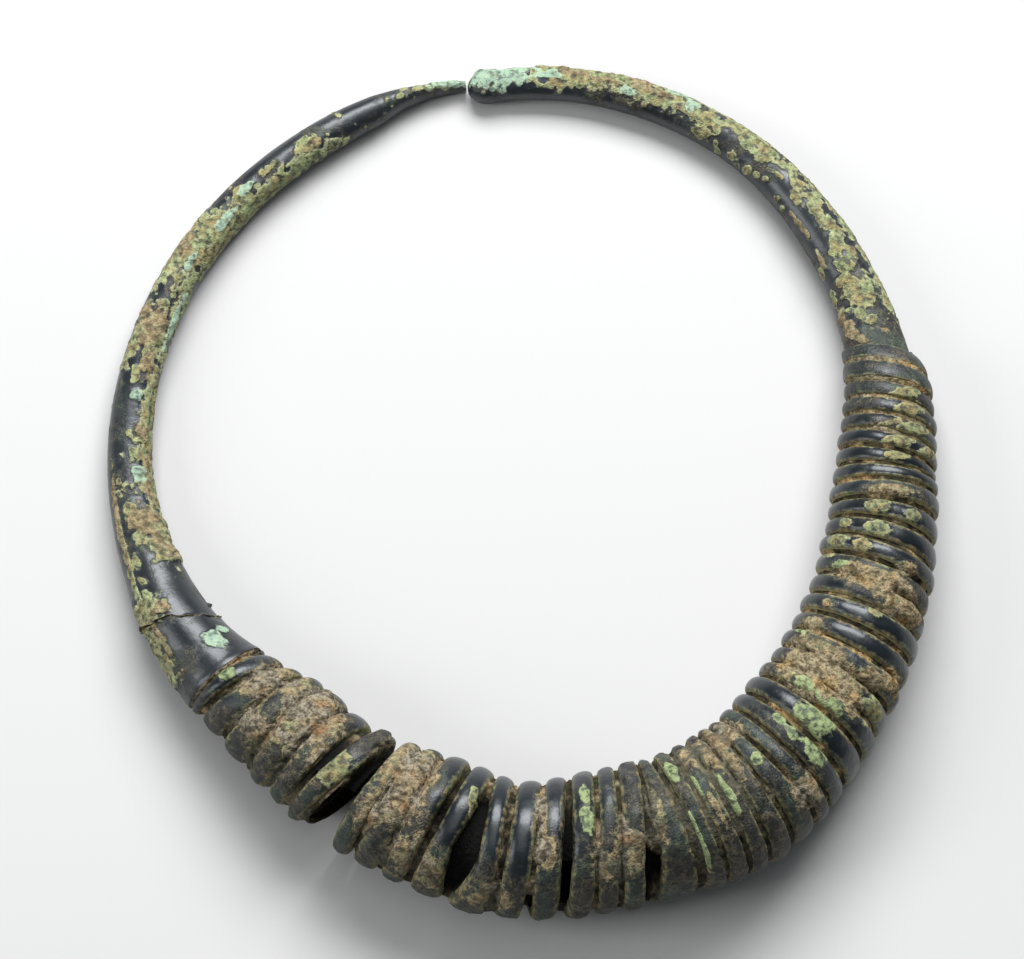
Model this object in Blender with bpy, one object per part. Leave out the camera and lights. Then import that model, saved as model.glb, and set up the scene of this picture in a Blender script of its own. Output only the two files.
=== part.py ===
"""A wound bronze torc lying flat: two tapered stems, a plain collar and a hollow wound front in two lengths."""
import bisect
import math
import random

import bmesh
import bpy

MM = 0.001

# The ring from end to end. Angles are in degrees from the middle of the front, positive towards
# the right-hand stem. Each row: angle, radius of the centre line, half the thickness, in mm
RING = (
    (-154.0, 92.6, 3.9),
    (-125.0, 88.7, 4.2),
    (-100.0, 84.5, 4.7),
    (-85.0, 81.1, 5.4),
    (-76.0, 78.8, 6.4),
    (-70.0, 77.2, 7.7),
    (-59.5, 74.4, 9.2),
    (-52.0, 72.2, 10.5),
    (-42.0, 71.0, 12.1),
    (-30.0, 72.4, 12.8),
    (-14.0, 73.9, 13.9),
    (-2.0, 77.2, 14.3),
    (14.0, 77.5, 14.6),
    (30.0, 79.9, 15.4),
    (39.0, 79.4, 15.2),
    (48.0, 77.6, 14.4),
    (65.0, 76.4, 13.3),
    (84.0, 76.0, 11.3),
    (94.0, 76.4, 10.7),
    (105.5, 80.0, 9.5),
    (113.0, 82.0, 7.0),
    (116.0, 83.0, 6.05),
    (130.0, 86.9, 5.45),
    (150.0, 92.4, 4.3),
    (170.0, 94.5, 3.8),
    (187.0, 93.8, 3.3),
)

# Narrowest gap between two pieces that meet
CLEARANCE = 0.3

# The wound strip: where it starts and the width of every turn, in degrees
LEFT_START = -56.9
LEFT_TURNS = (3.6, 4.9, 4.9, 5.4, 4.8, 5.0)
RIGHT_START = -25.9
RIGHT_TURNS = (
    3.9, 4.5, 4.8, 5.5, 4.8, 4.7, 4.6, 4.6, 3.4, 4.3, 4.9, 2.9, 3.2, 2.8, 3.0, 3.3, 2.7, 3.8, 4.3,
    3.3, 3.8, 3.6, 3.8, 3.8, 3.7, 3.8, 3.3, 3.8, 3.5, 3.5, 2.5, 2.7, 2.8, 2.8, 2.7, 2.8, 3.3, 3.3,
)

# Grooves that stand open. Each row: where along the winding, in turns, the extra half width
# there in degrees, and within how many turns it closes
LEFT_OPEN = (
    (1.0, 0.15, 0.4),
    (3.0, 0.12, 0.4),
    (5.0, 0.35, 0.3),
)
RIGHT_OPEN = (
    (3.0, 0.3, 0.45),
    (3.8, 1.8, 0.42),
    (5.0, 0.2, 0.4),
    (5.75, 0.45, 0.15),
    (6.93, 0.45, 0.35),
    (9.88, 0.65, 0.3),
    (11.1, 0.2, 0.3),
)
GROOVE_HALF = 0.17
STRIP_THICKNESS = 3.0
STRIP_THICKNESS_TO_WIDTH = 0.62
STRIP_SHOULDER = (0.8, 0.7)
TURN_WOBBLE = 0.35
STEPS_A_TURN = 16

# Slant of the turns: how many degrees further on a turn lies at the inner edge of the ring
# than at the outer edge, besides its own pitch
SLANT = (
    (-56.9, -1.7),
    (-53.3, 0.3),
    (-48.4, -0.9),
    (-43.5, -1.8),
    (-38.1, 0.4),
    (-33.3, 3.1),
    (-28.3, 6.8),
    (-25.9, 3.2),
    (-17.5, 2.7),
    (-12.7, 4.0),
    (-7.2, 3.1),
    (-2.4, 0.8),
    (2.3, 1.6),
    (6.9, 1.4),
    (11.5, 2.6),
    (19.2, 3.0),
    (24.1, -1.5),
    (27.0, -0.6),
    (33.0, -0.5),
    (39.3, -3.3),
    (42.0, -2.5),
    (50.1, -2.0),
    (57.2, -1.6),
    (68.4, -0.8),
    (79.2, 1.3),
    (86.5, 0.3),
    (90.0, 0.6),
    (95.2, 4.0),
    (109.6, 5.2),
    (112.9, 4.6),
)

# The plain pieces
STEM_SIDES = 16
STEM_STEP = 4.0
CRACK = -68.2
CRACK_SLANT = 2.6
CRACK_STEP = 0.6
CRACK_REACH = 12.0
SPIGOT_LENGTH = 4.0
SPIGOT_RADIUS = 5.4
RIGHT_END_THINNING = 14.0
RIGHT_END_STRIP = 0.6
RIGHT_NECK = 5.5
RIGHT_NECK_START = 101.0
RIGHT_SHOULDER = (113.5, 115.5)
RIGHT_SHOULDER_REACH = 12.0

# The closure: the left stem thins to a tongue on edge that stops against the rounded right end.
# Each row: degrees before its end, radius of the centre line, half the thickness, half the height
TONGUE = (
    (18.6, 92.6, 3.9, 3.9),
    (12.6, 93.6, 3.4, 3.6),
    (8.6, 94.6, 2.3, 3.2),
    (4.6, 95.1, 1.4, 2.7),
    (1.6, 95.1, 1.2, 2.3),
    (0.0, 95.1, 0.9, 1.8),
)
RIGHT_TIP = 187.2
KNOB_SWELL = 0.35
KNOB_REACH = 5.0

# Colours of the pieces
PATINA = (0.035, 0.055, 0.055, 1.0)
OLIVE_PATINA = (0.13, 0.15, 0.09, 1.0)
EARTHY_PATINA = (0.11, 0.09, 0.06, 1.0)


def blend(rows, column, angle):
    """One column of a table at any angle, on a smooth curve through its rows."""
    spots = [row[0] for row in rows]
    angle = min(max(angle, spots[0]), spots[-1])
    place = min(max(bisect.bisect_right(spots, angle) - 1, 0), len(rows) - 2)

    def slope(index):
        before = max(index - 1, 0)
        after = min(index + 1, len(rows) - 1)
        return (rows[after][column] - rows[before][column]) / (spots[after] - spots[before])

    span = spots[place + 1] - spots[place]
    share = (angle - spots[place]) / span
    first = rows[place][column]
    last = rows[place + 1][column]
    square = share * share
    cube = square * share
    return (
        (2 * cube - 3 * square + 1) * first
        + (cube - 2 * square + share) * span * slope(place)
        + (3 * square - 2 * cube) * last
        + (cube - square) * span * slope(place + 1)
    )


def ease(low, high, value):
    """0 below low, 1 above high and a smooth step between."""
    share = min(max((value - low) / (high - low), 0.0), 1.0)
    return share * share * (3 - 2 * share)


def on_ring(angle, radius, height):
    """A point at an angle round the ring, at a distance from its middle and a height, in metres."""
    turn = math.radians(angle)
    return (radius * math.sin(turn) * MM, -radius * math.cos(turn) * MM, max(height, 0.0) * MM)


def about_centre(angle, around, out, slant, shift=0.0):
    """A point at distance out from the centre line, in the direction around from the outer edge over the top."""
    half = blend(RING, 2, angle)
    leaned = angle - 0.5 * slant * math.cos(around) * out / half
    radius = blend(RING, 1, angle) + shift + out * math.cos(around)
    return on_ring(leaned, radius, half + out * math.sin(around))


def place(vertices, order, ring):
    """Moves the vertices of one section to the points of its ring."""
    for vertex in vertices:
        vertex.co = ring[vertex[order]]


def skin(name, rings, material):
    """One closed body: a section extruded from ring to ring, closed flat at both ends."""
    shape = bmesh.new()
    order = shape.verts.layers.int.new("order")
    section = bmesh.ops.create_circle(shape, segments=len(rings[0]), radius=MM)["verts"]
    for index, vertex in enumerate(section):
        vertex[order] = index
    edges = shape.edges[:]
    place(section, order, rings[0])
    bmesh.ops.contextual_create(shape, geom=edges)
    for ring in rings[1:]:
        grown = bmesh.ops.extrude_edge_only(shape, edges=edges)["geom"]
        section = [part for part in grown if isinstance(part, bmesh.types.BMVert)]
        fresh = set(section)
        edges = [part for part in grown if isinstance(part, bmesh.types.BMEdge) and fresh.issuperset(part.verts)]
        place(section, order, ring)
    bmesh.ops.contextual_create(shape, geom=edges)
    bmesh.ops.recalc_face_normals(shape, faces=shape.faces[:])
    mesh = bpy.data.meshes.new(name)
    shape.to_mesh(mesh)
    shape.free()
    mesh.shade_smooth()
    mesh.set_sharp_from_angle(angle=math.radians(50.0))
    mesh.materials.append(material)
    made = bpy.data.objects.new(name, mesh)
    bpy.context.scene.collection.objects.link(made)
    return made


def paint(name, colour, roughness):
    """A named surface colour."""
    material = bpy.data.materials.new(name)
    material.use_nodes = True
    shader = material.node_tree.nodes["Principled BSDF"]
    shader.inputs["Base Color"].default_value = colour
    shader.inputs["Metallic"].default_value = 0.6
    shader.inputs["Roughness"].default_value = roughness
    material.diffuse_color = colour
    return material


def winding(name, start, widths, gaps, end_thinning, seed, material):
    """A half-round strip wound in a left-handed helix, with both of its ends cut flush with the coil."""
    chance = random.Random(seed)
    grooves = [start]
    for width in widths:
        grooves.append(grooves[-1] + width)
    wobble = [chance.uniform(-TURN_WOBBLE, TURN_WOBBLE) for _ in range(len(widths) + 2)]

    def at(values, turn):
        turn = min(max(turn, 0.0), len(values) - 1.0)
        low = min(int(turn), len(values) - 2)
        return values[low] + (values[low + 1] - values[low]) * (turn - low)

    def groove_half(turn):
        return GROOVE_HALF + sum(extra * max(0.0, 1 - abs(turn - spot) / reach) for spot, extra, reach in gaps)

    def ring(turn):
        low = at(grooves, turn)
        high = at(grooves, turn + 1)
        if turn > 0:
            low += groove_half(turn)
        if turn + 1 < len(widths):
            high -= groove_half(turn + 1)
        middle = 0.5 * (low + high)
        pitch = math.radians(high - low) * blend(RING, 1, middle)
        thickness = min(STRIP_THICKNESS, STRIP_THICKNESS_TO_WIDTH * pitch)
        full = min(STRIP_THICKNESS, STRIP_THICKNESS_TO_WIDTH * math.radians(widths[0]) * blend(RING, 1, start))
        if turn < 0:
            thickness = full
        if end_thinning:
            left = 1 - ease(grooves[-1] - end_thinning, grooves[-1], middle)
            thickness = RIGHT_END_STRIP + (thickness - RIGHT_END_STRIP) * left
        around = math.radians(90.0 + 360.0 * turn)
        swell = at(wobble, turn + 1)
        shoulder, rise = STRIP_SHOULDER
        outline = ((-1.0, 0.0), (-shoulder, rise), (0.0, 1.0), (shoulder, rise), (1.0, 0.0))
        points = []
        for across, up in outline:
            angle = middle + 0.5 * (high - low) * across
            out = blend(RING, 2, angle) + swell - thickness * (1 - up)
            points.append(about_centre(angle, around, out, blend(SLANT, 1, angle)))
        return points

    last = len(widths) - 1 + (0.8 if end_thinning else 0.5)
    first = -0.8 if not end_thinning else -0.5
    steps = round((last - first) * STEPS_A_TURN)
    rings = [ring(first + index / STEPS_A_TURN) for index in range(steps + 1)]
    return skin(name, rings, material)


def round_ring(angle, half, slant=0.0, shift=0.0, tall=None, middle=None):
    """A ring of points round the centre line, with its lowest side flat on the ground."""
    tall = half if tall is None else tall
    points = []
    for index in range(STEM_SIDES):
        around = 2 * math.pi * (index + 0.5) / STEM_SIDES
        flat = math.cos(math.pi / STEM_SIDES)
        height = blend(RING, 2, angle) if middle is None else middle
        leaned = angle - 0.5 * slant * math.cos(around)
        radius = blend(RING, 1, angle) + shift + half * math.cos(around)
        points.append(on_ring(leaned, radius, height * flat + tall * math.sin(around)))
    return points


def spread(low, high, step):
    """Evenly spaced angles from low to high, both included."""
    count = max(1, math.ceil((high - low) / step))
    return [low + (high - low) * index / count for index in range(count + 1)]


def left_stem(material):
    """The longer stem, from its tongue at the closure round to the crack beside the collar."""
    end = RIGHT_TIP - 360 + math.degrees(CLEARANCE / TONGUE[-1][1])
    rings = []
    for before, radius, half, tall in reversed(TONGUE[1:]):
        angle = end + before
        rings.append(round_ring(angle, half, 0.0, radius - blend(RING, 1, angle), tall, tall))
    gap = math.degrees(0.5 * CLEARANCE / blend(RING, 1, CRACK))
    for angle in spread(end + TONGUE[0][0], CRACK - gap, STEM_STEP):
        near = ease(CRACK - CRACK_REACH, CRACK, angle)
        rings.append(round_ring(angle, blend(RING, 2, angle), CRACK_SLANT * near, CRACK_STEP * near))
    return skin("left_stem", rings, material)


def collar(material):
    """The plain length between the crack and the winding, with a spigot inside the first turn."""
    gap = math.degrees(0.5 * CLEARANCE / blend(RING, 1, CRACK))
    face = LEFT_START - 2 * gap
    slant = blend(SLANT, 1, LEFT_START)
    rings = []
    for angle in spread(CRACK + gap, face, STEM_STEP * 0.75):
        near = 1 - ease(CRACK, face, angle)
        rings.append(round_ring(angle, blend(RING, 2, angle), CRACK_SLANT * near + slant * (1 - near)))
    inside = slant * SPIGOT_RADIUS / blend(RING, 2, face)
    for angle in (face, LEFT_START + SPIGOT_LENGTH):
        rings.append(round_ring(angle, SPIGOT_RADIUS, inside))
    return skin("collar", rings, material)


def right_stem(material):
    """The shorter stem, from inside the winding's tapered end round to its rounded tip."""
    slant = blend(SLANT, 1, RIGHT_SHOULDER[0])
    inside = slant * RIGHT_NECK / blend(RING, 2, RIGHT_SHOULDER[0])
    rings = []
    for angle in spread(RIGHT_NECK_START, RIGHT_SHOULDER[0], STEM_STEP):
        rings.append(round_ring(angle, RIGHT_NECK, inside))
    for angle in spread(RIGHT_SHOULDER[1], RIGHT_TIP - KNOB_REACH, STEM_STEP):
        near = 1 - ease(RIGHT_SHOULDER[1], RIGHT_SHOULDER[1] + RIGHT_SHOULDER_REACH, angle)
        rings.append(round_ring(angle, blend(RING, 2, angle), slant * near))
    body = blend(RING, 2, RIGHT_TIP)
    for share in (0.35, 0.6, 0.8, 0.93, 1.0):
        angle = RIGHT_TIP - KNOB_REACH * (1 - share)
        bulge = 1 + KNOB_SWELL * math.sin(math.pi * min(share / 0.8, 1.0)) * 0.4
        closing = math.sqrt(max(1 - max((share - 0.6) / 0.42, 0.0) ** 2, 0.0))
        half = body * bulge * max(closing, 0.25)
        rings.append(round_ring(angle, half, 0.0, 0.0, half, body))
    return skin("right_stem", rings, material)


def settle(pieces):
    """Places the pieces together so that the middle of their box stands over the origin."""
    corners = [vertex.co for piece in pieces for vertex in piece.data.vertices]
    middle = [0.5 * (min(c[axis] for c in corners) + max(c[axis] for c in corners)) for axis in (0, 1)]
    for piece in pieces:
        piece.location = (-middle[0], -middle[1], 0.0)


def build():
    """Makes the five pieces in an empty scene."""
    for old in list(bpy.data.objects):
        bpy.data.objects.remove(old)
    pieces = [
        left_stem(paint("olive_patina", OLIVE_PATINA, 0.5)),
        collar(paint("collar_patina", PATINA, 0.35)),
        winding("left_winding", LEFT_START, LEFT_TURNS, LEFT_OPEN, 0.0, 3,
                paint("earthy_patina", EARTHY_PATINA, 0.6)),
        winding("right_winding", RIGHT_START, RIGHT_TURNS, RIGHT_OPEN, RIGHT_END_THINNING, 5,
                paint("dark_patina", PATINA, 0.4)),
        right_stem(paint("green_patina", OLIVE_PATINA, 0.5)),
    ]
    settle(pieces)


build()
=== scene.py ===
"""A wound bronze torc with its patina and earth crust, lying on a plain pale floor."""
import math
import random

import bmesh
import bpy
import numpy as np
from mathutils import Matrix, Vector


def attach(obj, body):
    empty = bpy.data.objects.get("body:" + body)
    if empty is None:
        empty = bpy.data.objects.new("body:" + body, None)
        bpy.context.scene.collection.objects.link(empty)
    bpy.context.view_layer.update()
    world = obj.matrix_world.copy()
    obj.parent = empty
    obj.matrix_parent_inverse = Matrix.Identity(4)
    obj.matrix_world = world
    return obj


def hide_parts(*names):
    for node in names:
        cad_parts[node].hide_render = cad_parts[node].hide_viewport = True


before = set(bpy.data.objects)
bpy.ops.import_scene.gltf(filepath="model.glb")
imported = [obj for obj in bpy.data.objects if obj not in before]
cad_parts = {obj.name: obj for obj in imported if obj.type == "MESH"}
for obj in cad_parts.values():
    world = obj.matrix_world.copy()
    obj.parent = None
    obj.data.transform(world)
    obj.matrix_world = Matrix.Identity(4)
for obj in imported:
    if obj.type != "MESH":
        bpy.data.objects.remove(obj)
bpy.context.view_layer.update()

MM = 0.001

# The ring's own frame: angles in degrees from the middle of the front, positive to the right.
# Around the thickness, 0 is the outer edge, 90 the top, 180 the inner edge. MIDDLE is where
# the middle of the ring lies on the floor, in mm
MIDDLE = (0.1415, -3.0537)

# Angle, radius of the centre line, half the thickness
RING = (
    (-154.0, 92.6, 3.9),
    (-125.0, 88.7, 4.2),
    (-100.0, 84.5, 4.7),
    (-85.0, 81.0, 5.5),
    (-76.0, 78.5, 6.75),
    (-70.0, 77.0, 7.95),
    (-59.5, 74.4, 9.2),
    (-52.0, 72.2, 10.5),
    (-42.0, 71.0, 12.1),
    (-30.0, 72.4, 12.8),
    (-14.0, 73.9, 13.9),
    (-2.0, 77.2, 14.3),
    (14.0, 77.5, 14.6),
    (30.0, 79.9, 15.4),
    (39.0, 79.4, 15.2),
    (48.0, 77.6, 14.4),
    (65.0, 76.4, 13.3),
    (84.0, 75.9, 11.8),
    (94.0, 76.8, 10.4),
    (105.5, 80.6, 8.9),
    (110.0, 82.1, 7.9),
    (113.0, 82.3, 6.9),
    (116.0, 83.0, 6.05),
    (130.0, 86.9, 5.45),
    (150.0, 92.4, 4.3),
    (170.0, 94.5, 3.8),
    (187.0, 93.8, 3.3),
)

# The strip: where it starts, the width of every turn, and the grooves that stand open
# as turn, extra half width in degrees, and the turns within which it closes
LEFT_START = -56.9
LEFT_TURNS = (3.6, 4.9, 4.9, 5.4, 4.8, 5.0)
RIGHT_START = -25.9
RIGHT_TURNS = (
    3.9, 4.5, 4.8, 5.5, 4.8, 4.7, 4.6, 4.6, 3.4, 4.3, 4.9, 2.9, 3.2, 2.8, 3.0, 3.3, 2.7, 3.8, 4.3,
    3.3, 3.8, 3.6, 3.8, 3.8, 3.7, 3.8, 3.3, 3.8, 3.5, 3.5, 2.5, 2.7, 2.8, 2.8, 2.7, 2.8, 3.3, 3.3,
)
LEFT_OPEN = (
    (1.0, 0.15, 0.4),
    (3.0, 0.12, 0.4),
    (5.0, 0.35, 0.3),
)
RIGHT_OPEN = (
    (3.0, 0.3, 0.45),
    (3.93, 1.6, 0.22),
    (5.0, 0.2, 0.4),
    (5.75, 0.45, 0.15),
    (6.93, 0.45, 0.35),
    (9.88, 0.8, 0.22),
    (11.1, 0.2, 0.3),
)
GROOVE_HALF = 0.17
# How far under the strip the sheet painted near black as shadow lies in an open groove, how far the
# crust may stand out, and how thick the sheet of earth is
SHADOW_DEPTH = 2.2
CRUST_RISE = 0.45
EARTH_SHEET = 0.3
STRIP_THICKNESS = 3.0
STRIP_THICKNESS_TO_WIDTH = 0.62
TURN_WOBBLE = 0.35
# Its half-round profile: the flange's share of the thickness, the share of the half width where
# the flange starts, and how full the crown is
FLANGE = 0.4
FLANGE_START = 0.96
FULLNESS = 2.25
RIGHT_END_THINNING = 14.0
RIGHT_END_STRIP = 0.6
SLANT = (
    (-56.9, -1.7),
    (-53.3, 0.3),
    (-48.4, -0.9),
    (-43.5, -1.8),
    (-38.1, 0.4),
    (-33.3, 3.1),
    (-28.3, 6.8),
    (-25.9, 3.2),
    (-17.5, 2.7),
    (-12.7, 4.0),
    (-7.2, 3.1),
    (-2.4, 0.8),
    (2.3, 1.6),
    (6.9, 1.4),
    (11.5, 2.6),
    (19.2, 3.0),
    (24.1, -1.5),
    (27.0, -0.6),
    (33.0, -0.5),
    (39.3, -3.3),
    (42.0, -2.5),
    (50.1, -2.0),
    (57.2, -1.6),
    (68.4, -0.8),
    (79.2, 1.3),
    (86.5, 0.3),
    (90.0, 0.6),
    (95.2, 4.0),
    (109.6, 5.2),
    (112.9, 4.6),
)

# The plain pieces
CRACK = -68.2
CRACK_SLANT = 2.6
CRACK_STEP = 0.3
CRACK_REACH = 12.0
CLEARANCE = 0.3
SPIGOT_LENGTH = 4.0
SPIGOT_RADIUS = 5.4
RIGHT_NECK = 5.5
RIGHT_NECK_START = 101.0
RIGHT_SHOULDER = (113.5, 115.5)
RIGHT_SHOULDER_REACH = 12.0
TONGUE = (
    (18.6, 92.6, 3.9, 3.9),
    (12.6, 93.6, 3.4, 3.6),
    (8.6, 94.6, 2.3, 3.2),
    (4.6, 95.1, 1.4, 2.7),
    (1.6, 95.1, 1.2, 2.3),
    (0.0, 95.1, 0.9, 1.8),
)
RIGHT_TIP = 187.2
KNOB_SWELL = 0.35
KNOB_REACH = 5.0
STEM_SIDES = 16

# Corrosion, as angle, around, half width in degrees along the ring and half height around it.
# Olive to yellow-green bloom
OLIVE = (
    (101, 67, 1.2, 26), (103.8, 74, 1, 24), (96.2, 79, 1.1, 22), (93.8, 78, 0.9, 18), (98.2, 58, 1.1, 26),
    (94.5, 39, 1.3, 16), (85, 100, 1.3, 15), (84.2, 61, 1, 12), (81.8, 133, 1, 8), (81, 97, 1.4, 15),
    (78.5, 137, 1.3, 14), (77.8, 108, 1.3, 11), (76, 150, 1, 10), (67.5, 80, 0.9, 8), (-8, 110, 1, 14),
    (-31.5, 84, 2.6, 20), (54.8, 40, 2, 16), (-149.5, 95, 2.2, 28), (-145.6, 120, 1.6, 18),
    (-143, 88, 1.6, 18), (-140.3, 108, 1.3, 14), (-138, 82, 1.2, 16), (-130.5, 95, 5, 60),
    (-123, 100, 2, 13), (-121, 112, 1, 10), (-119, 100, 1, 26), (-99, 92, 0.8, 13), (-96.5, 105, 0.9, 16),
    (-95.5, 75, 0.7, 12), (-91.8, 62, 0.8, 10), (-90, 60, 0.8, 12), (-87, 80, 2, 22), (-83, 92, 1.4, 22),
    (-79, 62, 1.4, 9), (-76, 60, 1.2, 9), (-73.2, 60, 1.2, 8), (-71, 74, 1.1, 12), (-79.5, 112, 2.2, 16),
    (-134, 150, 22, 44), (-97, 150, 18, 46), (-71.2, 50, 2.6, 34), (-65, 20, 6, 22), (-83, 44, 9, 9),
    (-75, 40, 7, 10), (-137, 104, 3.6, 30), (-127, 116, 4, 26), (-112, 108, 3, 18), (-108, 86, 1.6, 14),
    (-146, 140, 6, 26), (118.8, 106, 1.4, 16), (121.6, 92, 2.8, 44), (124.4, 112, 1.3, 20),
    (121, 78, 3, 16), (126.2, 96, 1.6, 24), (127, 70, 1.4, 16), (117, 86, 1, 14), (129.4, 88, 1.4, 24),
    (131.5, 70, 2.2, 24), (134, 84, 2.6, 16), (136.6, 66, 1.6, 18), (138.2, 98, 1.3, 22),
    (139.6, 74, 1.8, 20), (142.2, 96, 1, 11), (145.4, 84, 1.9, 26), (148.3, 84, 1.5, 20),
    (143.4, 132, 0.6, 10), (145.2, 142, 0.9, 12), (146.6, 148, 0.8, 15), (148.2, 160, 0.6, 10),
    (149.4, 144, 1, 13), (151.4, 156, 0.7, 26), (152.2, 138, 0.5, 10), (154.6, 128, 1.8, 30),
    (138.8, 152, 0.6, 10), (140.6, 146, 0.5, 12), (127.6, 160, 1, 12), (123, 158, 1.6, 14),
    (155.5, 80, 4, 40), (162, 80, 5, 36), (175, 95, 5, 34), (168, 70, 4, 24), (132, 30, 12, 22),
    (120, 30, 4, 24), (152, 20, 10, 24), (170, 56, 16, 66), (-172, 80, 9, 60), (147, 60, 8, 22),
    (-128, 44, 8, 50), (-112, 50, 5, 26),
)
# Mint and turquoise spots
MINT = (
    (51.8, 92, 1.7, 24), (48.2, 82, 1.9, 20), (44.5, 104, 0.9, 7), (44.2, 89, 0.9, 7), (45, 65, 1.6, 15),
    (37.5, 96, 1, 6), (10.5, 122, 0.9, 12), (10, 97, 1.1, 13), (-55.6, 88, 1.2, 11),
    (-62.2, 114, 2.3, 18), (25.4, 126, 1.2, 12), (24.7, 62, 0.4, 30), (31, 86, 0.7, 20),
    (27.4, 106, 0.7, 12), (-105, 100, 0.9, 22), (-93, 116, 1.5, 18), (-63.6, 138, 1, 12),
    (157.2, 66, 1.2, 26), (183, 62, 5, 66), (-172.6, 80, 5, 60), (176.8, 76, 2, 20), (166, 96, 1.4, 14),
    (159.4, 40, 2, 14), (60.2, 140, 0.8, 10), (73.6, 128, 1.2, 12), (-134, 110, 2.6, 14),
    (-139.4, 90, 1.8, 16), (-118, 146, 5, 13), (-126, 104, 1.8, 12),
)
# Tan and ochre earth on the plain pieces
EARTH = (
    (-115.5, 95, 3.2, 60), (-107.6, 138, 1, 26), (-100, 128, 1.8, 24), (-92, 140, 4, 16),
    (-85, 112, 3.2, 44), (-81.5, 140, 2.6, 34), (-65.6, 46, 4.6, 6), (-110, 112, 2.4, 22),
    (-70.6, 70, 1.2, 18), (-134, 118, 1.2, 16), (-113, 72, 1.2, 14), (-150.8, 110, 0.8, 16),
    (117.4, 140, 1.6, 18), (120, 150, 1.6, 14), (122.2, 104, 0.5, 30), (135, 138, 2.4, 8),
    (129, 140, 2, 8), (127.2, 62, 1, 10), (173.5, 62, 3, 16), (169, 78, 2.6, 12), (163, 70, 3, 14),
    (165, 40, 4, 14), (158, 92, 2, 12), (176, 34, 2.4, 12), (-128, 60, 2, 30), (-117, 50, 2.4, 24),
    (-86, 44, 8, 10), (114.5, 98, 0.7, 40),
)
# Earth crust over the windings, and how thickly it lies
CRUST = (
    (55, 104, 4.6, 46, 1), (58.5, 60, 1.6, 18, 0.7), (53.8, 62, 2, 14, 0.8), (87.6, 90, 1.2, 36, 0.7),
    (72.6, 82, 2.2, 44, 0.95), (72.9, 122, 1.6, 22, 0.9), (70.2, 52, 1.8, 32, 0.9),
    (66.3, 125, 0.9, 8, 0.7), (61.8, 132, 1.4, 18, 0.8), (60, 30, 2.5, 26, 0.6), (3.2, 108, 1, 34, 0.75),
    (3.2, 76, 1.6, 16, 0.95), (-20.4, 114, 5.2, 48, 0.95), (-23, 66, 2.6, 24, 0.7), (-14, 40, 5, 30, 0.6),
    (-51.4, 118, 2.9, 44, 0.9), (-40, 112, 5.4, 44, 1), (-46, 128, 2.2, 26, 0.75),
    (-34.6, 84, 2, 24, 0.7), (-46, 60, 5, 24, 0.5), (20.5, 92, 1.4, 26, 0.6), (30.5, 134, 3.2, 20, 0.75),
    (28.6, 84, 0.6, 22, 0.6), (33, 110, 2.4, 30, 0.5), (36, 136, 3.4, 20, 0.8), (12, 55, 3, 22, 0.45),
    (-4, 30, 5, 18, 0.45), (40.5, 46, 3, 22, 0.5), (15, 70, 3, 30, 0.55), (76, 60, 1.2, 20, 0.5),
    (99.2, 95, 0.7, 22, 0.5),
)
# Lumps of crust that stand out from the plain pieces, and how far in mm
BUMPS = (
    (-69.5, 168, 0.45, 8, 0.7), (-84.5, 168, 2.6, 30, 0.6), (-79.5, 150, 1.8, 26, 0.7),
    (185.6, 12, 0.8, 34, 0.5), (-60.5, 14, 2, 20, 0.4), (-66, 18, 2, 20, 0.4), (-73, 24, 2, 20, 0.3),
)
# Where earth closes the top of an open groove
PLUG = ((19.2, 108, 2.4, 50), (18.5, -12, 2.4, 36))
# Crushed lengths, where the strip is dented and rough and its grooves are nearly full
CRUSHED = (
    (27, 90, 11, 90), (-27.5, 140, 2.5, 30), (15, 50, 5, 30), (0, 20, 18, 30), (-39, 26, 11, 40),
    (-19.5, 28, 4.5, 34),
)
# Corroded lump at the inner corner of the gap between the windings. Its near black in the earth is
# partly its own dark corrosion and partly painted shadow
LUMP = (-27.6, 146, 1.6, 18)


def blend(rows, column, angle):
    """One column of a table at any angles, on a smooth curve through its rows."""
    table = np.array([[row[0], row[column]] for row in rows])
    spots = table[:, 0]
    values = table[:, 1]
    angle = np.clip(angle, spots[0], spots[-1])
    rise = np.gradient(values)
    run = np.gradient(spots)
    slope = rise / run
    at = np.clip(np.searchsorted(spots, angle, side="right") - 1, 0, len(spots) - 2)
    span = spots[at + 1] - spots[at]
    share = (angle - spots[at]) / span
    square = share * share
    cube = square * share
    return (
        (2 * cube - 3 * square + 1) * values[at]
        + (cube - 2 * square + share) * span * slope[at]
        + (3 * square - 2 * cube) * values[at + 1]
        + (cube - square) * span * slope[at + 1]
    )


def ease(low, high, value):
    """0 at low, 1 at high and a smooth step between, either way round."""
    share = np.clip((value - low) / (high - low), 0.0, 1.0)
    return share * share * (3 - 2 * share)


def on_ring(angle, radius, height):
    """Points in mm at angles round the ring, distances from its middle and heights."""
    turn = np.radians(angle)
    return np.stack(
        (radius * np.sin(turn) + MIDDLE[0], MIDDLE[1] - radius * np.cos(turn), np.maximum(height, 0.0)),
        axis=-1,
    )


def chance(corner, seed):
    """An even random number from 0 to 1 for each whole-number corner."""
    mixed = (corner * np.array((374761393, 668265263, 1103515245))).sum(axis=-1) + seed * 974634777
    mixed = mixed & 0xFFFFFFFF
    mixed = ((mixed ^ (mixed >> 13)) * 1274126177) & 0xFFFFFFFF
    mixed = ((mixed ^ (mixed >> 15)) * 2246822519) & 0xFFFFFFFF
    mixed = mixed ^ (mixed >> 16)
    return (mixed & 0xFFFFFF) / float(0xFFFFFF)


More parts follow.
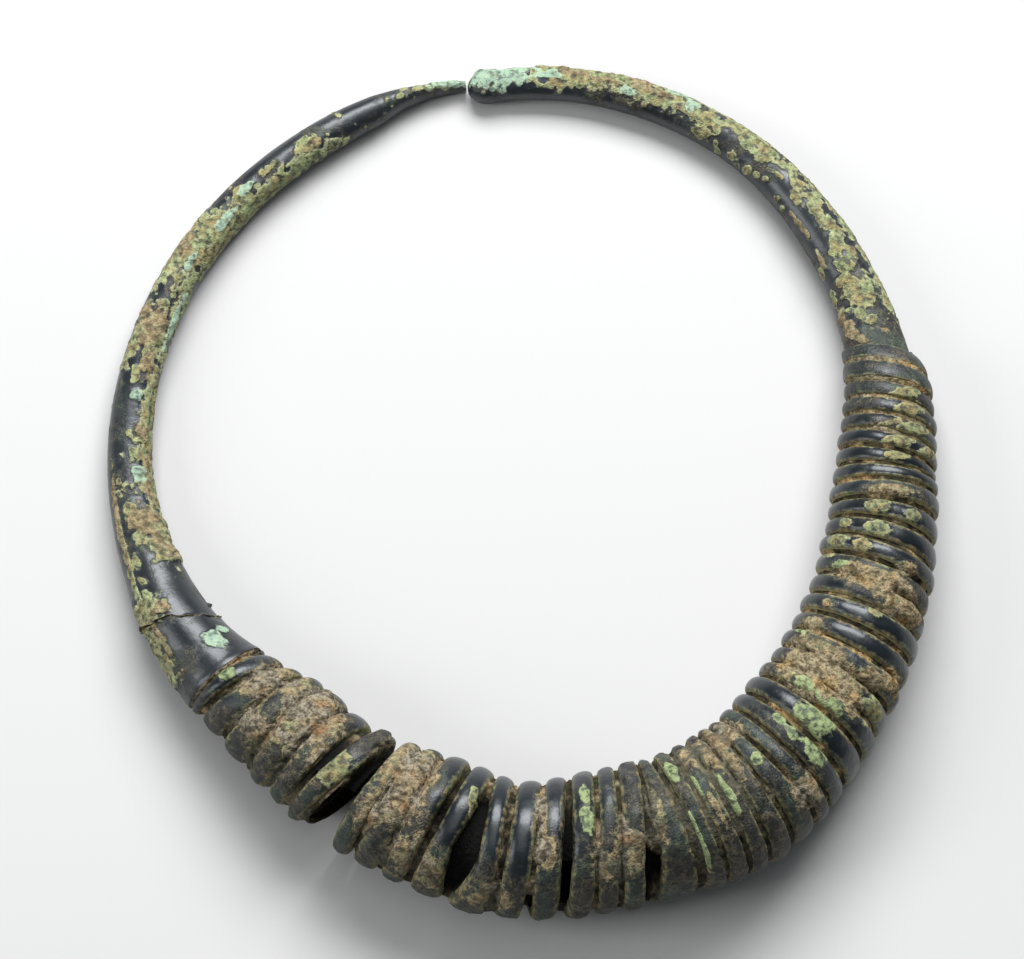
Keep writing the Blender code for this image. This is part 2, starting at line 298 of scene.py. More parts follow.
def cloud(points, size, seed, layers=3):
    """Soft noise from 0 to 1 over points in mm, with lumps of the given size."""
    total = np.zeros(points.shape[:-1])
    weight = 1.0
    whole = 0.0
    for layer in range(layers):
        place = points / size + 17.3 * layer
        corner = np.floor(place).astype(np.int64)
        part = place - corner
        part = part * part * (3 - 2 * part)
        value = np.zeros(points.shape[:-1])
        for x in (0, 1):
            for y in (0, 1):
                for z in (0, 1):
                    share = (
                        (part[..., 0] if x else 1 - part[..., 0])
                        * (part[..., 1] if y else 1 - part[..., 1])
                        * (part[..., 2] if z else 1 - part[..., 2])
                    )
                    value += share * chance(corner + np.array((x, y, z)), seed + layer)
        total += weight * value
        whole += weight
        weight *= 0.5
        size *= 0.5
    return total / whole


def blobs(points, size, seed):
    """How far each point in mm is from the nearest scattered blob's middle, over the blobs' spacing."""
    place = points / size
    corner = np.floor(place).astype(np.int64)
    nearest = np.full(points.shape[:-1], 9.0)
    for x in (-1, 0, 1):
        for y in (-1, 0, 1):
            for z in (-1, 0, 1):
                other = corner + np.array((x, y, z))
                spot = other + np.stack([chance(other, seed + axis) for axis in (0, 1, 2)], axis=-1)
                nearest = np.minimum(nearest, np.sqrt(((spot - place) ** 2).sum(axis=-1)))
    return nearest


def patches(angle, around, rows, ragged):
    """1 in the middle of a patch, 0.5 at its edge and 0 well outside, with ragged edges."""
    best = np.zeros(np.shape(angle))
    for row in rows:
        far = np.hypot((angle - row[0]) / row[2], (around - row[1]) / row[3])
        best = np.maximum(best, np.clip(1 - 0.5 * far - 0.5 * ragged, 0.0, 1.0))
    return best


def lobes(points, size, seed):
    """Noise round 0 that gives the edge of a patch round lobes, as corrosion spots run together."""
    soft = cloud(points, size, seed) - 0.5
    return 0.75 * soft + 0.75 * (np.minimum(blobs(points, 0.8 * size, seed + 9), 0.9) - 0.42)


def crust_cover(leaned, degrees, points):
    """How thickly the earth crust covers a place, 0 to 1."""
    ragged = (cloud(points, 3.4, 201) - 0.5) * 1.2 + (cloud(points, 0.9, 203, 2) - 0.5) * 0.35
    cover = np.zeros(np.shape(leaned))
    for row in CRUST:
        far = np.hypot((leaned - row[0]) / row[2], (degrees - row[1]) / row[3])
        share = np.clip(1 - 0.5 * far - 0.45 * ragged, 0.0, 1.0)
        cover = np.maximum(cover, share * (0.55 + 0.45 * row[4]))
    return cover


def finish_mesh(name, mesh, closed, sharp):
    """Closes the seam and the ends of a shaped mesh and makes it a piece."""
    shape = bmesh.new()
    shape.from_mesh(mesh)
    bmesh.ops.remove_doubles(shape, verts=shape.verts[:], dist=0.002 * MM)
    if closed:
        open_edges = [edge for edge in shape.edges if edge.is_boundary]
        bmesh.ops.holes_fill(shape, edges=open_edges, sides=0)
        bmesh.ops.recalc_face_normals(shape, faces=shape.faces[:])
    shape.to_mesh(mesh)
    shape.free()
    mesh.shade_smooth()
    mesh.set_sharp_from_angle(angle=math.radians(sharp))
    made = bpy.data.objects.new(name, mesh)
    bpy.context.scene.collection.objects.link(made)
    return made


def grid_mesh(name, points, film):
    """A grid laid over rows of points in mm and closed into a tube, with its film values."""
    along, across = points.shape[:2]
    shape = bmesh.new()
    bmesh.ops.create_grid(shape, x_segments=across, y_segments=along - 1, size=1.0)
    mesh = bpy.data.meshes.new(name)
    shape.to_mesh(mesh)
    shape.free()
    flat = np.empty(len(mesh.vertices) * 3, dtype=np.float32)
    mesh.vertices.foreach_get("co", flat)
    flat = flat.reshape(-1, 3)
    column = np.rint((flat[:, 0] + 1) / 2 * across).astype(int) % across
    row = np.rint((flat[:, 1] + 1) / 2 * (along - 1)).astype(int)
    mesh.vertices.foreach_set("co", (points[row, column] * MM).astype(np.float32).ravel())
    layer = mesh.color_attributes.new(name="film", type="FLOAT_COLOR", domain="POINT")
    film = np.clip(film, 0.0, 1.0).astype(np.float32)
    layer.data.foreach_set("color", film[row, column, :4].ravel())
    if film.shape[-1] > 4:
        layer = mesh.attributes.new(name="grime", type="FLOAT", domain="POINT")
        layer.data.foreach_set("value", film[row, column, 4].ravel())
    mesh.update()
    return mesh


class Winding:
    """The strip of one winding: the grooves between its turns, its thickness and its height."""

    def __init__(self, start, widths, gaps, end_thinning, seed):
        self.grooves = np.concatenate(([start], start + np.cumsum(widths)))
        self.widths = widths
        self.gaps = gaps
        self.end_thinning = end_thinning
        draws = random.Random(seed)
        self.wobble = [draws.uniform(-TURN_WOBBLE, TURN_WOBBLE) for _ in range(len(widths) + 2)]

    def groove(self, turn):
        """Angle of the groove at a place along the winding, in turns."""
        return np.interp(turn, np.arange(len(self.grooves)), self.grooves)

    def half_groove(self, turn):
        """Half the groove's width there, in degrees."""
        half = np.full(np.shape(turn), GROOVE_HALF)
        for spot, extra, reach in self.gaps:
            half = half + extra * np.maximum(0.0, 1 - np.abs(turn - spot) / reach)
        return half

    def strip(self, turn):
        """Low edge, high edge, thickness and swell of the strip at a place along the winding."""
        low = self.groove(turn)
        high = self.groove(turn + 1)
        low = low + np.where(turn > 0, self.half_groove(turn), 0.0)
        high = high - np.where(turn + 1 < len(self.widths), self.half_groove(turn + 1), 0.0)
        middle = 0.5 * (low + high)
        pitch = np.radians(high - low) * blend(RING, 1, middle)
        thickness = np.minimum(STRIP_THICKNESS, STRIP_THICKNESS_TO_WIDTH * pitch)
        first = math.radians(self.widths[0]) * blend(RING, 1, self.grooves[0])
        thickness = np.where(turn < 0, min(STRIP_THICKNESS, STRIP_THICKNESS_TO_WIDTH * first), thickness)
        if self.end_thinning:
            left = 1 - ease(self.grooves[-1] - self.end_thinning, self.grooves[-1], middle)
            thickness = RIGHT_END_STRIP + (thickness - RIGHT_END_STRIP) * left
        swell = np.interp(turn + 1, np.arange(len(self.wobble)), self.wobble)
        return low, high, thickness, swell


def dome(across):
    """Height of the half-round strip over its width, from its thin flanges to its crown, 0 to 1."""
    share = np.abs(across)
    crown = np.maximum(1 - (share / FLANGE_START) ** FULLNESS, 0.0) ** (1 / FULLNESS)
    crown = FLANGE + (1 - FLANGE) * crown
    return np.where(share < FLANGE_START, crown, np.where(share < 1.0, FLANGE, 0.0))


def about_centre(angle, around, out):
    """Points out from the centre line, in the direction around, and the angles where they really lie."""
    half = blend(RING, 2, angle)
    leaned = angle - 0.5 * blend(SLANT, 1, angle) * np.cos(around) * out / half
    radius = blend(RING, 1, angle) + out * np.cos(around)
    return on_ring(leaned, radius, half + out * np.sin(around)), leaned


def wound_strip(name, winding, steps_a_turn, profile):
    """The half-round strip, wound in its helix, with worn edges and raised bloom."""
    turns = len(winding.widths)
    first, last = (-0.5, turns - 0.2) if winding.end_thinning else (-0.8, turns - 0.6)
    turn = np.linspace(first, last, round((last - first) * steps_a_turn))[:, None]
    low, high, thickness, swell = winding.strip(turn)
    bow = np.cos(np.linspace(0.0, math.pi, profile))
    top = -np.sign(bow) * np.abs(bow) ** 0.8
    across = np.concatenate(([-1.0], top[1:-1] * 0.985, [1.0], [0.6, 0.0, -0.6]))
    inner = np.concatenate((np.zeros(profile), np.ones(3)))
    up = np.where(inner > 0, 0.0, dome(across))
    up[0] = up[profile - 1] = 0.12
    across = across[None, :]
    middle = 0.5 * (low + high)
    around = np.radians(90.0 + 360.0 * turn) + 0 * across
    angle = middle + 0.5 * (high - low) * across
    out = blend(RING, 2, angle) + swell - thickness * (1 - up[None, :])
    points, leaned = about_centre(angle, around, out)
    # worn edges: the flanges wander and are nicked
    wander = (cloud(points, 5.0, 31) - 0.5) * 0.5 + (cloud(points, 1.2, 33, 2) - 0.5) * 0.3
    edge = ease(0.7, 1.0, np.abs(across) + 0 * turn)
    inside = np.broadcast_to(inner[None, :], edge.shape)
    shape_angle = angle - np.sign(across) * edge * (1 - inside) * (0.1 + np.abs(wander)) * 0.7
    degrees = 90.0 + 360.0 * turn + 0 * across
    wrapped = (degrees + 90.0) % 360.0 - 90.0
    ragged = 0.7 * lobes(points, 2.2, 41)
    olive = patches(leaned, wrapped, OLIVE, ragged)
    mint = patches(leaned, wrapped, MINT, ragged)
    lump = patches(leaned, wrapped, (LUMP,), ragged)
    crushed = patches(leaned, wrapped, CRUSHED, ragged)
    cover = crust_cover(leaned, wrapped, points)
    dusty = cloud(points, 6.0, 61, 3)
    under = 0.3 * ease(70.0, 20.0, wrapped) * ease(62.0, 40.0, leaned)
    dull_end = 0.4 * ease(97.0, 104.0, leaned)
    grime = 0.9 * crushed + 0.6 * ease(0.15, 0.5, cover) + 0.5 * (dusty - 0.35)
    grime = grime + under + 0.8 * lump + dull_end
    relief = (cloud(points, 9.0, 51) - 0.5) * 0.35
    relief += (cloud(points, 1.6, 53) - 0.5) * (0.1 + 0.9 * ease(0.35, 0.6, crushed))
    relief += (cloud(points, 3.6, 65, 2) - 0.5) * 1.2 * ease(0.35, 0.6, crushed)
    relief += 0.28 * ease(0.46, 0.56, olive) + 0.3 * ease(0.46, 0.56, mint)
    relief += (1.0 + 1.6 * (cloud(points, 1.4, 59, 2) - 0.5)) * ease(0.4, 0.6, lump)
    relief += (cloud(points, 2.2, 57) - 0.4) * 0.5 * ease(0.4, 0.65, cover)
    relief = np.minimum(relief * (1 - inside) * (0.35 + 0.65 * up[None, :]), 0.7)
    if winding.end_thinning:
        relief = relief - 0.7 * ease(last - 0.12, last, turn)
    points, leaned = about_centre(shape_angle, around, out + relief)
    # the bloom along the edges is widest up the right side
    edging = np.abs(across) + 0.1 * ease(38.0, 60.0, leaned) - 0.12 * ease(96.0, 103.0, leaned) - 0.04
    edging = edging + 0.1 * ease(0.4, 0.8, crushed)
    # and barely there where a groove stands open or the winding ends
    room = np.where(across < 0, winding.half_groove(turn), winding.half_groove(turn + 1)) - GROOVE_HALF
    free = np.where(across < 0, turn < 1, turn + 1 > turns)
    edging = edging - 0.24 * np.maximum(ease(0.1, 0.35, room), free) * edge
    film = np.stack((cover, olive, mint, np.where(inside > 0, 0.2, edging), grime), axis=-1)
    mesh = grid_mesh(name, points, film)
    return finish_mesh(name, mesh, True, 55)


def earth_fill(name, winding, span, dips, cuts, step, seed):
    """Earth and corrosion in the grooves, swelling to a crust over them in patches. It sinks away
    at each end of its span over as many degrees as dips says. Where that is nothing, it stands up
    against the piece at its start, or ends in a wall painted near black as shadow. It is open right
    through inside the cuts, which are ranges of both angles, from and to."""
    angles = np.arange(span[0], span[1], step / 1.36)
    arounds = np.linspace(-90.0, 270.0, round(360.0 / (step / 13.0 * 57.3)), endpoint=False)
    angle, degrees = np.meshgrid(angles, arounds, indexing="ij")
    around = np.radians(degrees)
    along = np.interp(angle, winding.grooves, np.arange(len(winding.grooves)))
    ahead = (degrees - 90.0) / 360.0
    turn = np.clip(np.floor(along - ahead), -1, len(winding.widths) - 1) + ahead
    low, high, thickness, swell = winding.strip(turn)
    across = np.clip((2 * angle - low - high) / np.maximum(high - low, 0.5), -1.0, 1.0)
    half = blend(RING, 2, angle)
    base = half + swell
    points, leaned = about_centre(angle, around, base)
    cover = crust_cover(leaned, degrees, points)
    grain = cloud(points, 1.1, seed + 3, 3)
    lumps = cloud(points, 3.2, seed + 5, 2)
    grey = patches(leaned, degrees, CRUSHED, lobes(points, 2.2, 41))
    worn = ease(0.48, 0.78, grey)
    filled = 0.46 - 0.24 * worn + 0.4 * (cloud(points, 4.0, seed + 7) - 0.5)
    filled = thickness * filled + (0.5 - grain) * 0.4
    crust = 0.02 + 1.1 * (0.5 - lumps) + 0.9 * (0.5 - grain) - 0.3 * ease(0.6, 0.95, cover)
    crust = crust + 0.5 * thickness * (1 - dome(across)) * (1 - 0.75 * ease(0.6, 0.85, cover))
    rise = ease(0.32, 0.6, cover)
    # in the grooves that stand open the sheet sinks deep under the strip and is painted near black as
    # shadow
    wide = np.maximum(
        (winding.half_groove(turn) - GROOVE_HALF) * (1 - ease(0.3, 0.5, angle - low)),
        (winding.half_groove(turn + 1) - GROOVE_HALF) * (1 - ease(0.3, 0.5, high - angle)),
    )
    closed = ease(0.4, 0.5, patches(leaned, degrees, PLUG, 0.0))
    shadow = ease(0.1, 0.34, wide) * (1 - closed)
    rise = rise * (1 - shadow)
    depth = filled * (1 - rise) + crust * rise
    depth = depth * (1 - shadow) + (thickness + SHADOW_DEPTH) * shadow
    for dip, far in zip(dips, (angle - span[0], span[1] - angle)):
        if dip > 0:
            depth = depth + (1 - ease(0.0, dip, far)) * np.maximum(0.9 * thickness - depth, 0.0)
    if dips[0] == 0:
        snug = 1 - ease(0.05, 0.4, angle - span[0])
        depth = np.minimum(depth, 0.35 + 1.4 * (1 - snug))
        rise = np.maximum(rise, snug)
    # past the last groove only a wall painted near black as shadow and the corroded lump close the gap
    ends = dips[1] == 0
    past = ease(-0.2, 0.4, angle - winding.grooves[-1] - 0.5 * (degrees - 90.0) / 360.0) * ends
    lump = patches(leaned, degrees, (LUMP,), lobes(points, 1.6, 43)) * ends
    depth = depth + past * np.maximum(thickness + SHADOW_DEPTH - depth, 0.0)
    solid = ease(0.42, 0.56, lump)
    depth = depth * (1 - solid) + (0.5 - 0.9 * (lumps - 0.5)) * solid
    # the lump takes most of the painted shadow's near black, and the wall past the last groove takes all of
    # it
    shadow = np.maximum(np.maximum(shadow, past), 0.8 * solid)
    points = about_centre(angle, around, base - np.maximum(depth, -CRUST_RISE))[0]
    rise = np.maximum(rise, np.maximum(0.5 * ease(94.0, 100.0, angle), 0.4 * worn))
    film = np.stack((shadow, grey, lumps, rise), axis=-1)
    mesh = grid_mesh(name, points, film)
    shape = bmesh.new()
    shape.from_mesh(mesh)
    hole = np.zeros(angle.shape, dtype=bool)
    for from_angle, to_angle, from_degrees, to_degrees in cuts:
        hole |= (
            (shadow > 0.5) & (solid < 0.2) & (angle > from_angle) & (angle < to_angle)
            & (degrees > from_degrees) & (degrees < to_degrees)
        )
    spots = np.append(hole, hole[:, :1], axis=1).ravel()
    gone = [vertex for vertex, empty in zip(shape.verts, spots) if empty]
    if gone:
        bmesh.ops.delete(shape, geom=gone, context="VERTS")
        loose = [vertex for vertex in shape.verts if not vertex.link_faces]
        bmesh.ops.delete(shape, geom=loose, context="VERTS")
    # the sheet's faces point outwards
    top = max(shape.faces[:], key=lambda face: face.calc_center_median().z)
    if top.normal.z < 0:
        bmesh.ops.reverse_faces(shape, faces=shape.faces[:])
    shape.to_mesh(mesh)
    shape.free()
    made = finish_mesh(name, mesh, False, 80)
    wall = made.modifiers.new("Thickness", "SOLIDIFY")
    wall.thickness = EARTH_SHEET * MM
    wall.offset = -1.0
    return made


def plain_tube(name, angle, centre, wide, tall, middle, slant, around_steps, seed, rim=None):
    """A plain bronze length with raised corrosion. Every argument up to slant is one value a ring."""
    around = 2 * math.pi * (np.arange(around_steps) + 0.5) / around_steps
    around = np.broadcast_to(around[None, :], (len(angle), around_steps))
    given = (angle, centre, wide, tall, middle, slant)
    angle, centre, wide, tall, middle, slant = (np.asarray(row, dtype=float)[:, None] for row in given)
    flat = math.cos(math.pi / STEM_SIDES)

    def shell(out):
        leaned = angle - 0.5 * slant * np.cos(around)
        if rim is not None:
            leaned = leaned + rim(angle, around)
        radius = centre + (wide + out) * np.cos(around)
        height = middle * flat + (tall + out) * np.sin(around)
        return on_ring(leaned, radius, height), leaned

    points, leaned = shell(0.0)
    degrees = (np.degrees(around) + 90.0) % 360.0 - 90.0
    ragged = lobes(points, 2.0, seed)
    # pits in the bloom, and small loose spots on the bare skin of the stems, not near their ends
    holes = 0.3 * ease(0.58, 0.74, cloud(points, 2.4, seed + 6, 3))
    scattered = 0.55 * ease(0.55, 0.25, blobs(points, 2.3, seed + 1))
    scattered = scattered * ease(0.5, 0.6, cloud(points, 9.0, seed + 2))
    scattered = scattered * np.where((leaned < -156.0) | (leaned > -86.0) & (leaned < 100.0), 0.0, 1.0)
    olive = np.maximum(patches(leaned, degrees, OLIVE, ragged) - holes, scattered)
    mint = patches(leaned, degrees, MINT, ragged)
    # thin lines of earth along the crack
    line = 0.75 * np.exp(-((angle - CRACK) / 0.3) ** 2) * (cloud(points, 1.5, seed + 7, 2) + 0.4)
    earth = np.maximum(patches(leaned, degrees, EARTH, ragged), line)
    raised = np.maximum(olive, earth)
    relief = (cloud(points, 8.0, seed + 3) - 0.5) * 0.16
    relief = relief + (cloud(points, 1.3, seed + 4) - 0.5) * (0.03 + 0.5 * ease(0.45, 0.55, raised))
    relief = relief + 0.16 * ease(0.46, 0.54, olive) + 0.3 * ease(0.5, 0.62, earth)
    relief = relief + 0.18 * ease(0.46, 0.54, mint)
    for row in BUMPS:
        far = np.hypot((leaned - row[0]) / row[2], (degrees - row[1]) / row[3])
        relief = relief + row[4] * ease(1.0, 0.3, far + 0.6 * ragged)
    points, leaned = shell(np.minimum(relief - 0.08, 1.0))
    grime = 0.62 * ease(0.4, 0.8, cloud(points, 5.0, seed + 5)) + 0.4 * ease(0.2, 0.5, raised)
    grime = grime + 0.8 * ease(118.0, 114.5, leaned) * (leaned > 100.0)
    film = np.stack((earth, olive, mint, 0.3 + 0 * earth, grime), axis=-1)
    mesh = grid_mesh(name, points, film)
    return finish_mesh(name, mesh, True, 60)


def crack_line(angle, around):
    """How far the crack wanders from its plane, in degrees, the same on both of its faces."""
    near = np.exp(-((angle - CRACK) / 1.2) ** 2)
    wave = 0.28 * np.sin(3.0 * around + 0.6) + 0.16 * np.sin(7.0 * around + 2.0)
    return near * (wave + 0.08 * np.sin(17.0 * around))


def crack_stem_side(angle, around):
    """The stem's face of the crack, broken back where it reaches the outer edge."""
    near = np.exp(-((angle - CRACK) / 0.9) ** 2)
    chipped = np.exp(-((np.degrees(around) - 8.0) / 18.0) ** 2)
    return crack_line(angle, around) - near * 0.55 * chipped


def make_left_stem():
    """The longer stem, from its tongue at the closure to the crack."""
    end = RIGHT_TIP - 360 + math.degrees(CLEARANCE / TONGUE[-1][1])
    gap = math.degrees(0.5 * CLEARANCE / blend(RING, 1, CRACK))
    spots = np.array([end + row[0] for row in reversed(TONGUE)])
    columns = [np.array([row[index] for row in reversed(TONGUE)]) for index in (1, 2, 3)]
    body = np.linspace(spots[-1], CRACK - gap, 340)[1:]
    angle = np.concatenate((np.linspace(end, spots[-1], 70), body))
    thin = angle < spots[-1]
    near = ease(CRACK - CRACK_REACH, CRACK, angle)
    half = blend(RING, 2, angle)
    centre = blend(RING, 1, angle) + CRACK_STEP * near
    centre = np.where(thin, np.interp(angle, spots, columns[0]), centre)
    wide = np.where(thin, np.interp(angle, spots, columns[1]), half)
    tall = np.where(thin, np.interp(angle, spots, columns[2]), half)
    slant = CRACK_SLANT * near
    return plain_tube("left_stem_bronze", angle, centre, wide, tall, tall, slant, 88, 101, crack_stem_side)


def make_collar():
    """The plain length between the crack and the left winding, with the spigot inside the first turn."""
    gap = math.degrees(0.5 * CLEARANCE / blend(RING, 1, CRACK))
    face = LEFT_START - 2 * gap
    slant = blend(SLANT, 1, LEFT_START)
    angle = np.linspace(CRACK + gap, face, 60)
    near = 1 - ease(CRACK, face, angle)
    half = blend(RING, 2, angle)
    lip = 0.12 * np.exp(-((angle - face + 0.5) / 0.5) ** 2)
    slants = CRACK_SLANT * near + slant * (1 - near)
    inside = slant * SPIGOT_RADIUS / half[-1]
    stub = np.linspace(face, LEFT_START + SPIGOT_LENGTH, 8)
    angles = np.concatenate((angle, stub))
    centre = blend(RING, 1, angles)
    wide = np.concatenate((half + lip - 0.1, np.full(8, SPIGOT_RADIUS)))
    middle = np.concatenate((half, blend(RING, 2, stub)))
    slants = np.concatenate((slants, np.full(8, inside)))
    return plain_tube("collar_bronze", angles, centre, wide, wide, middle, slants, 120, 111, crack_line)


def make_right_stem():
    """The shorter stem, from its neck inside the winding to its rounded tip."""
    slant = blend(SLANT, 1, RIGHT_SHOULDER[0])
    half_shoulder = blend(RING, 2, RIGHT_SHOULDER[0])
    neck = np.linspace(RIGHT_NECK_START, RIGHT_SHOULDER[0], 10)
    body = np.linspace(RIGHT_SHOULDER[1], RIGHT_TIP - KNOB_REACH, 280)
    knob = np.linspace(0.0, 1.0, 30)[1:]
    tip_half = blend(RING, 2, RIGHT_TIP)
    bulge = 1 + KNOB_SWELL * np.sin(math.pi * np.minimum(knob / 0.8, 1.0)) * 0.4
    closing = np.sqrt(np.maximum(1 - np.maximum((knob - 0.6) / 0.42, 0.0) ** 2, 0.0))
    knob_half = tip_half * bulge * np.maximum(closing, 0.12)
    knob_angle = RIGHT_TIP - KNOB_REACH * (1 - knob)
    blended = ease(0.0, 0.35, knob)
    knob_half = knob_half * blended + blend(RING, 2, knob_angle) * (1 - blended)
    angle = np.concatenate((neck, body, knob_angle))
    near = 1 - ease(RIGHT_SHOULDER[1], RIGHT_SHOULDER[1] + RIGHT_SHOULDER_REACH, body)
    slants = np.concatenate((np.full(10, slant * RIGHT_NECK / half_shoulder), slant * near, np.zeros(29)))
    neck_half = np.interp(neck, (108.0, 112.5), (RIGHT_NECK, RIGHT_NECK + 0.7))
    wide = np.concatenate((neck_half, blend(RING, 2, body), knob_half))
    middle = np.concatenate((blend(RING, 2, neck), blend(RING, 2, body), np.full(29, tip_half)))
    centre = blend(RING, 1, angle)
    return plain_tube("right_stem_bronze", angle, centre, wide, wide, middle, slants, 84, 121)


def linear(code):
    """An sRGB hex colour as the linear colour that nodes take."""
    parts = [int(code[index:index + 2], 16) / 255 for index in (1, 3, 5)]
    parts = [part / 12.92 if part <= 0.04045 else ((part + 0.055) / 1.055) ** 2.4 for part in parts]
    return parts + [1.0]


def add(tree, kind, inputs=None, out=0, **settings):
    """Adds a shader node with its settings, links or sets its inputs, and gives one of its outputs."""
    made = tree.nodes.new("ShaderNode" + kind)
    for key, value in settings.items():
        setattr(made, key, value)
    for key, value in (inputs or {}).items():
        if isinstance(value, bpy.types.NodeSocket):
            tree.links.new(value, made.inputs[key])
        else:
            made.inputs[key].default_value = value
    return made.outputs[out]


def buried_bronze(name, skin, green, ochre, mint, earth, gloss, rims):
    """Cast bronze that lay in the ground: a hard, glossy blue-black skin, matt bloom standing on it
    in lobed spots that run from green to ochre and are palest at the edge, mint spots of soft
    carbonate, grey-brown grime and grainy earth. Every colour is a pair from dark to light, gloss is
    the roughness of the skin, and rims how much of the bloom lies along the edges of the strip."""
    material = bpy.data.materials.new(name)
    material.use_nodes = True
    tree = material.node_tree
    shader = tree.nodes["Principled BSDF"]
    place = add(tree, "TexCoord", out="Object")
    # cloudiness of the skin about 8 mm across, patches of hue 2.6 mm, mottling 1.2 mm, grains 0.4 mm
    broad = add(tree, "TexNoise", {"Vector": place, "Scale": 1000 / 8.0, "Detail": 2.0})
    patchy = add(tree, "TexNoise", {"Vector": place, "Scale": 1000 / 2.6, "Detail": 3.0})
    middling = add(tree, "TexNoise", {"Vector": place, "Scale": 1000 / 1.2, "Detail": 3.0})
    fine = add(tree, "TexNoise", {"Vector": place, "Scale": 1000 / 0.4, "Detail": 2.0})
    film = add(tree, "Attribute", attribute_name="film")
    alpha = film.node.outputs["Alpha"]
    grime = add(tree, "Attribute", out="Fac", attribute_name="grime")
    parts = add(tree, "SeparateColor", {"Color": film}).node.outputs
    ragged = add(tree, "Math", {0: middling, 1: 0.3, 2: -0.11}, operation="MULTIPLY_ADD")
    ragged = add(tree, "Math", {0: fine, 1: 0.08, 2: ragged}, operation="MULTIPLY_ADD")
    levels = []
    masks = []
    for channel in ("Red", "Green", "Blue"):
        level = add(tree, "Math", {0: parts[channel], 1: ragged}, operation="ADD")
        levels.append(level)
        masks.append(add(tree, "MapRange", {
            "Value": level, "From Min": 0.54, "From Max": 0.64,
        }))
    earthy, bloomy, minty = masks
    thin = add(tree, "MapRange", {
        "Value": middling, "From Min": 0.34, "From Max": 0.5, "To Min": 0.3,
    })
    minty = add(tree, "Math", {0: minty, 1: thin}, operation="MULTIPLY")
    thin = add(tree, "MapRange", {
        "Value": middling, "From Min": 0.34, "From Max": 0.44, "To Min": 0.45,
    })
    bloomy = add(tree, "Math", {0: bloomy, 1: thin}, operation="MULTIPLY")
    shade = add(tree, "MapRange", {"Value": middling, "From Min": 0.36, "From Max": 0.64})
    hue = add(tree, "MapRange", {"Value": patchy, "From Min": 0.4, "From Max": 0.62})
    # the skin: blue-black, a little greyer in places
    tint = add(tree, "MapRange", {"Value": broad, "From Min": 0.3, "From Max": 0.75})
    colour = add(tree, "Mix", {0: tint, 6: linear(skin[0]), 7: linear(skin[1])}, out=2, data_type="RGBA")
    # grime: a grey-brown to olive haze in soft smears, speckled with dust
    speckle = add(tree, "Math", {0: middling, 1: 0.6}, operation="MULTIPLY")
    speckle = add(tree, "Math", {0: fine, 1: 0.7, 2: speckle}, operation="MULTIPLY_ADD")
    speckle = add(tree, "MapRange", {"Value": speckle, "From Min": 0.54, "From Max": 0.78})
    dusty = add(tree, "MapRange", {
        "Value": patchy, "From Min": 0.42, "From Max": 0.62, "To Min": 0.25,
    })
    dusty = add(tree, "Math", {0: speckle, 1: dusty}, operation="MULTIPLY")
    smear = add(tree, "Math", {0: patchy, 1: 0.7, 2: grime}, operation="MULTIPLY_ADD")
    smear = add(tree, "Math", {0: fine, 1: 0.3, 2: smear}, operation="MULTIPLY_ADD")
    smear = add(tree, "MapRange", {
        "Value": smear, "From Min": 0.7, "From Max": 1.25, "To Max": 0.88,
    })
    grey = add(tree, "Mix", {
        0: dusty, 6: linear("#20211f"), 7: linear("#68614e"),
    }, out=2, data_type="RGBA")
    stain = add(tree, "MapRange", {"Value": broad, "From Min": 0.47, "From Max": 0.6})
    stained = add(tree, "Mix", {
        0: dusty, 6: linear("#232b28"), 7: linear("#56604c"),
    }, out=2, data_type="RGBA")
    grey = add(tree, "Mix", {0: stain, 6: grey, 7: stained}, out=2, data_type="RGBA")
    colour = add(tree, "Mix", {0: smear, 6: colour, 7: grey}, out=2, data_type="RGBA")
    # bloom along the edges of the strip, with a pale line at the very edge that is partly pale deposit and
    # partly a painted highlight on the rim
    rim = add(tree, "Math", {0: middling, 1: 0.45, 2: alpha}, operation="MULTIPLY_ADD")
    rim = add(tree, "Math", {0: broad, 1: 0.5, 2: rim}, operation="MULTIPLY_ADD")
    rim = add(tree, "MapRange", {
        "Value": rim, "From Min": 1.05, "From Max": 1.36, "To Max": rims,
    })
    line = add(tree, "MapRange", {
        "Value": alpha, "From Min": 0.86, "From Max": 0.95, "To Max": 0.55,
    })
    greens, ochres, soil = (
        add(tree, "Mix", {0: shade, 6: linear(dark), 7: linear(light)}, out=2, data_type="RGBA")
        for dark, light in (green, ochre, earth)
    )
    bloom = add(tree, "Mix", {0: hue, 6: greens, 7: ochres}, out=2, data_type="RGBA")
    edge = add(tree, "Mix", {0: line, 6: bloom, 7: linear("#b3a985")}, out=2, data_type="RGBA")
    colour = add(tree, "Mix", {0: rim, 6: colour, 7: edge}, out=2, data_type="RGBA")
